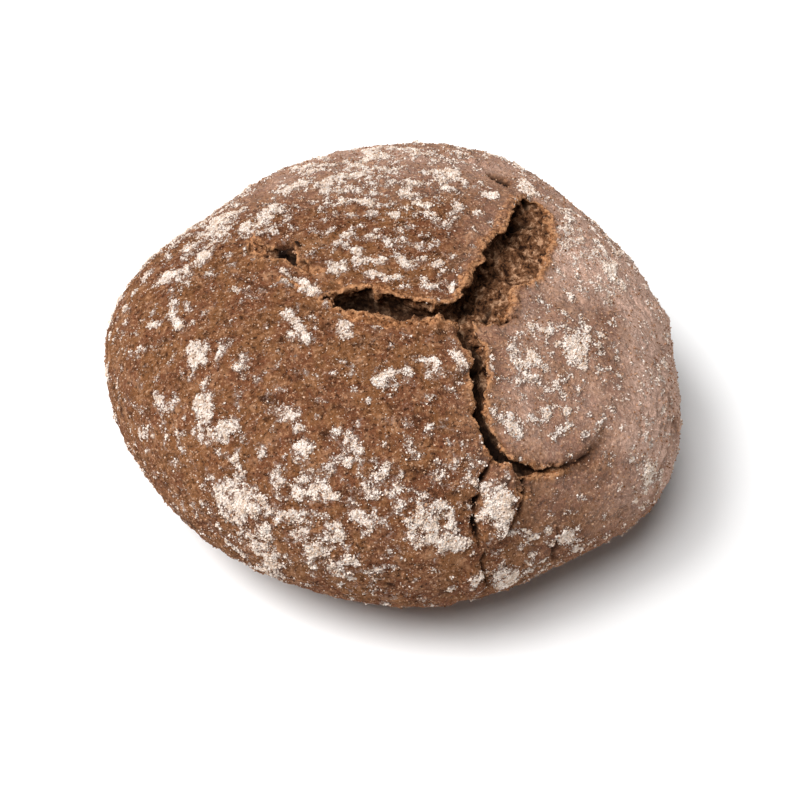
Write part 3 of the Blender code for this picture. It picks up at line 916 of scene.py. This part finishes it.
def loaf_masks(skin, pores, crust_tree):
    """The numbers that the material reads at each point."""
    ragged = skin.side + 1.2 * fractal(skin.points, 3.0, 90, 3, 0.7)
    sunken = np.clip(-skin.creases / 1.6, 0, 1)
    flour = flour_amount(skin.points, skin.side, crust_tree)
    dust_and_painted_light = dust_and_painted_light_amount(skin.points, skin.side)
    return {
        "crumb": ramp(ragged, 0.5, 2.0),
        "toast": np.maximum(ramp(ragged, -0.3, 0.5), skin.browned),
        # painted shade in the crumb's pores inside the tears, and where shade() finds deep creases,
        # shut-in tear parts and the nick's hole
        "painted_shade": np.maximum(0.8 * skin.inside * ramp(-pores, 0.7, 2.2), shade(skin)),
        # painted shade: darker the deeper a mark sinks
        "crease": 0.8 * sunken,
        "lip": np.exp(-(((ragged + 0.3) / 0.7) ** 2)),
        "flour": flour * (1 - 0.8 * skin.browned) * (1 - 0.9 * sunken),
        # dust film, which on the east side is also painted light
        "dust_and_painted_light": dust_and_painted_light * (1 - 0.7 * skin.browned) * (1 - 0.9 * sunken),
    }


def loaf_height(skin, pores, flour):
    """How far each point moves off the smooth form."""
    torn = pores * skin.inside * ramp(skin.air, 0.3, 0.55)
    rims = rim_height(skin.points, skin.side) * ramp(skin.air, 0.2, 0.5)
    layer = FLOUR_THICKNESS * ramp(flour, FLOUR_COVERS - 0.15, FLOUR_COVERS + 0.3)
    height = crust_height(skin.points) * (1 - skin.inside) + torn + skin.creases
    height += rims - slot_widening(skin.points, skin.side)
    return height + layer


def make_loaf():
    """The whole loaf as one closed mesh, with masks for its material."""
    bm = welded_solid()
    solid = BVHTree.FromBMesh(bm)
    crust_tree, tear_tree = crust_and_tear_trees(bm, hull_tree(bm))
    piece = fine_loaf(bm)
    bm.free()

    skin = measured_skin(piece.data, solid, crust_tree, tear_tree)
    pores = crumb_height(skin.points)
    masks = loaf_masks(skin, pores, crust_tree)
    for name, values in masks.items():
        add_mask(piece.data, name, values)
    height = loaf_height(skin, pores, masks["flour"])
    write_places(piece.data, roughened(skin, height))

    thinned(piece, (skin.side > KEPT_SIDE) | (skin.browned > KEPT_BROWNED))
    piece.data.transform(Matrix.Scale(MM, 4))
    piece.data.shade_smooth()
    piece.data.materials.clear()
    piece.data.materials.append(crust_material())
    return piece


TETRAHEDRON = (
    np.array(((1, 1, 1), (1, -1, -1), (-1, 1, -1), (-1, -1, 1))) / 3**0.5,
    np.array(((0, 1, 2), (0, 2, 3), (0, 3, 1), (1, 3, 2))),
)
OCTAHEDRON = (
    np.array(((1, 0, 0), (-1, 0, 0), (0, 1, 0), (0, -1, 0), (0, 0, 1), (0, 0, -1)), float),
    np.array(((0, 2, 4), (2, 1, 4), (1, 3, 4), (3, 0, 4), (2, 0, 5), (1, 2, 5), (3, 1, 5), (0, 3, 5))),
)


def random_turns(rng, count):
    """Random rotation matrices, evenly spread."""
    w, x, y, z = rng.normal(size=(4, count))
    length = np.sqrt(w * w + x * x + y * y + z * z)
    w, x, y, z = w / length, x / length, y / length, z / length
    rows = (
        (1 - 2 * (y * y + z * z), 2 * (x * y - w * z), 2 * (x * z + w * y)),
        (2 * (x * y + w * z), 1 - 2 * (x * x + z * z), 2 * (y * z - w * x)),
        (2 * (x * z - w * y), 2 * (y * z + w * x), 1 - 2 * (x * x + y * y)),
    )
    return np.array(rows).transpose(2, 0, 1)


def scattered_spots(rng, mesh, weight, count):
    """Places on a mesh, closer together where the weight is higher, and the mesh's normals there."""
    points = read_vectors(mesh.vertices, "co")
    normals = read_vectors(mesh.vertex_normals, "vector")
    corners = np.empty(len(mesh.polygons) * 3, np.int32)
    mesh.polygons.foreach_get("vertices", corners)
    corners = corners.reshape(-1, 3)
    a, b, c = (points[corners[:, i]] for i in range(3))
    chance = np.linalg.norm(np.cross(b - a, c - a), axis=1) * weight[corners].mean(axis=1)
    chosen = corners[rng.choice(len(corners), count, p=chance / chance.sum())]
    shares = rng.dirichlet((1, 1, 1), count)[:, :, None]
    return (points[chosen] * shares).sum(axis=1), (normals[chosen] * shares).sum(axis=1)


def scatter(name, loaf, shape, count, sizes, weight):
    """Grains joined in one mesh, strewn over the loaf by a weight for each of its points."""
    rng = np.random.default_rng(count)
    middles, outward = scattered_spots(rng, loaf.data, weight, count)
    size = rng.uniform(*sizes, count)[:, None] * MM / 2
    stretch = rng.uniform(*GRAIN_STRETCH, (count, 1, 3))
    grain_corners, faces = shape
    grains = np.einsum("nij,nkj->nki", random_turns(rng, count), grain_corners[None] * stretch)
    places = (middles + outward * size * GRAIN_LIFT)[:, None] + grains * size[:, None]
    links = faces[None] + np.arange(count)[:, None, None] * len(grain_corners)
    mesh = bpy.data.meshes.new(name)
    mesh.from_pydata(places.reshape(-1, 3), [], links.reshape(-1, 3))
    piece = bpy.data.objects.new(name, mesh)
    bpy.context.scene.collection.objects.link(piece)
    return piece


# ---------------------------------------------------------------- the studio


def look_from(obj, place, target):
    """Puts a camera or lamp somewhere, facing a target."""
    obj.location = place
    obj.rotation_mode = "QUATERNION"
    obj.rotation_quaternion = (Vector(target) - Vector(place)).to_track_quat("-Z", "Y")


def make_camera():
    data = bpy.data.cameras.new("camera")
    data.lens, data.sensor_width = LENS, SENSOR
    camera = bpy.data.objects.new("camera", data)
    bpy.context.scene.collection.objects.link(camera)
    elevation = radians(CAMERA_ELEVATION)
    back = Vector((0, -cos(elevation), sin(elevation)))
    look_from(camera, (CAMERA_TARGET + back * CAMERA_DISTANCE) * MM, CAMERA_TARGET * MM)
    bpy.context.scene.camera = camera


def make_lamp(name, azimuth, elevation, strength):
    """A far, soft lamp that shines from this direction."""
    data = bpy.data.lights.new(name, "SUN")
    data.angle = radians(LAMP_SPREAD)
    data.energy = strength
    lamp = bpy.data.objects.new(name, data)
    bpy.context.scene.collection.objects.link(lamp)
    level = cos(radians(elevation))
    out = (cos(radians(azimuth)) * level, sin(radians(azimuth)) * level, sin(radians(elevation)))
    look_from(lamp, out, (0, 0, 0))


def make_floor():
    """A wide, plain floor for the loaf's shadow."""
    bm = bmesh.new()
    bmesh.ops.create_grid(bm, x_segments=1, y_segments=1, size=FLOOR_REACH)
    mesh = bpy.data.meshes.new("floor")
    bm.to_mesh(mesh)
    bm.free()
    floor = bpy.data.objects.new("floor", mesh)
    bpy.context.scene.collection.objects.link(floor)
    material = bpy.data.materials.new("floor_look")
    material.use_nodes = True
    shader = material.node_tree.nodes["Principled BSDF"]
    shader.inputs["Base Color"].default_value = FLOOR_COLOUR
    shader.inputs["Roughness"].default_value = 0.9
    shader.inputs["Specular IOR Level"].default_value = 0.0
    mesh.materials.append(material)
    floor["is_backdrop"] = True


def make_studio():
    world = bpy.data.worlds.new("studio")
    bpy.context.scene.world = world
    world.use_nodes = True
    background = world.node_tree.nodes["Background"]
    background.inputs["Color"].default_value = (1, 1, 1, 1)
    background.inputs["Strength"].default_value = WORLD_STRENGTH
    for lamp in LAMPS:
        make_lamp(*lamp)
    make_floor()
    bpy.context.scene.view_settings.view_transform = "Standard"


def write_sizes():
    """Gathers the solid's box and the finished model's into a table, which is not kept or shown."""
    boxes = {"cad": cad_box, "visual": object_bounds()}
    {name: [list(corner) for corner in box] for name, box in boxes.items()}


loaf = make_loaf()
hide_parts("loaf")
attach(loaf, "root")

flour = np.clip(read_mask(loaf.data, "flour"), 0, 1)
upward = ramp(read_vectors(loaf.data.vertex_normals, "vector")[:, 2], -0.75, -0.2)
open_crust = upward * (1 - read_mask(loaf.data, "crumb"))
level_crust = open_crust * (1 - read_mask(loaf.data, "painted_shade"))  # where no shade would show the bran up
flour_look = grain_material("flour_look", GRAIN_DARK, GRAIN_LIGHT)
bran_look = grain_material("bran_look", BRAN_DARK, BRAN_LIGHT)
for name, shape, count, sizes, weight, look in (
    ("flour_dust", TETRAHEDRON, 40_000, DUST_SIZES, (flour**3 + 0.0004) * open_crust, flour_look),
    ("flour_grains", OCTAHEDRON, 16_000, GRAIN_SIZES, (flour**4 + 0.0003) * open_crust, flour_look),
    ("bran", OCTAHEDRON, 9_000, BRAN_SIZES, level_crust, bran_look),
):
    grains = scatter(name, loaf, shape, count, sizes, weight)
    grains.data.materials.append(look)
    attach(grains, "root")

make_camera()
make_studio()
write_sizes()
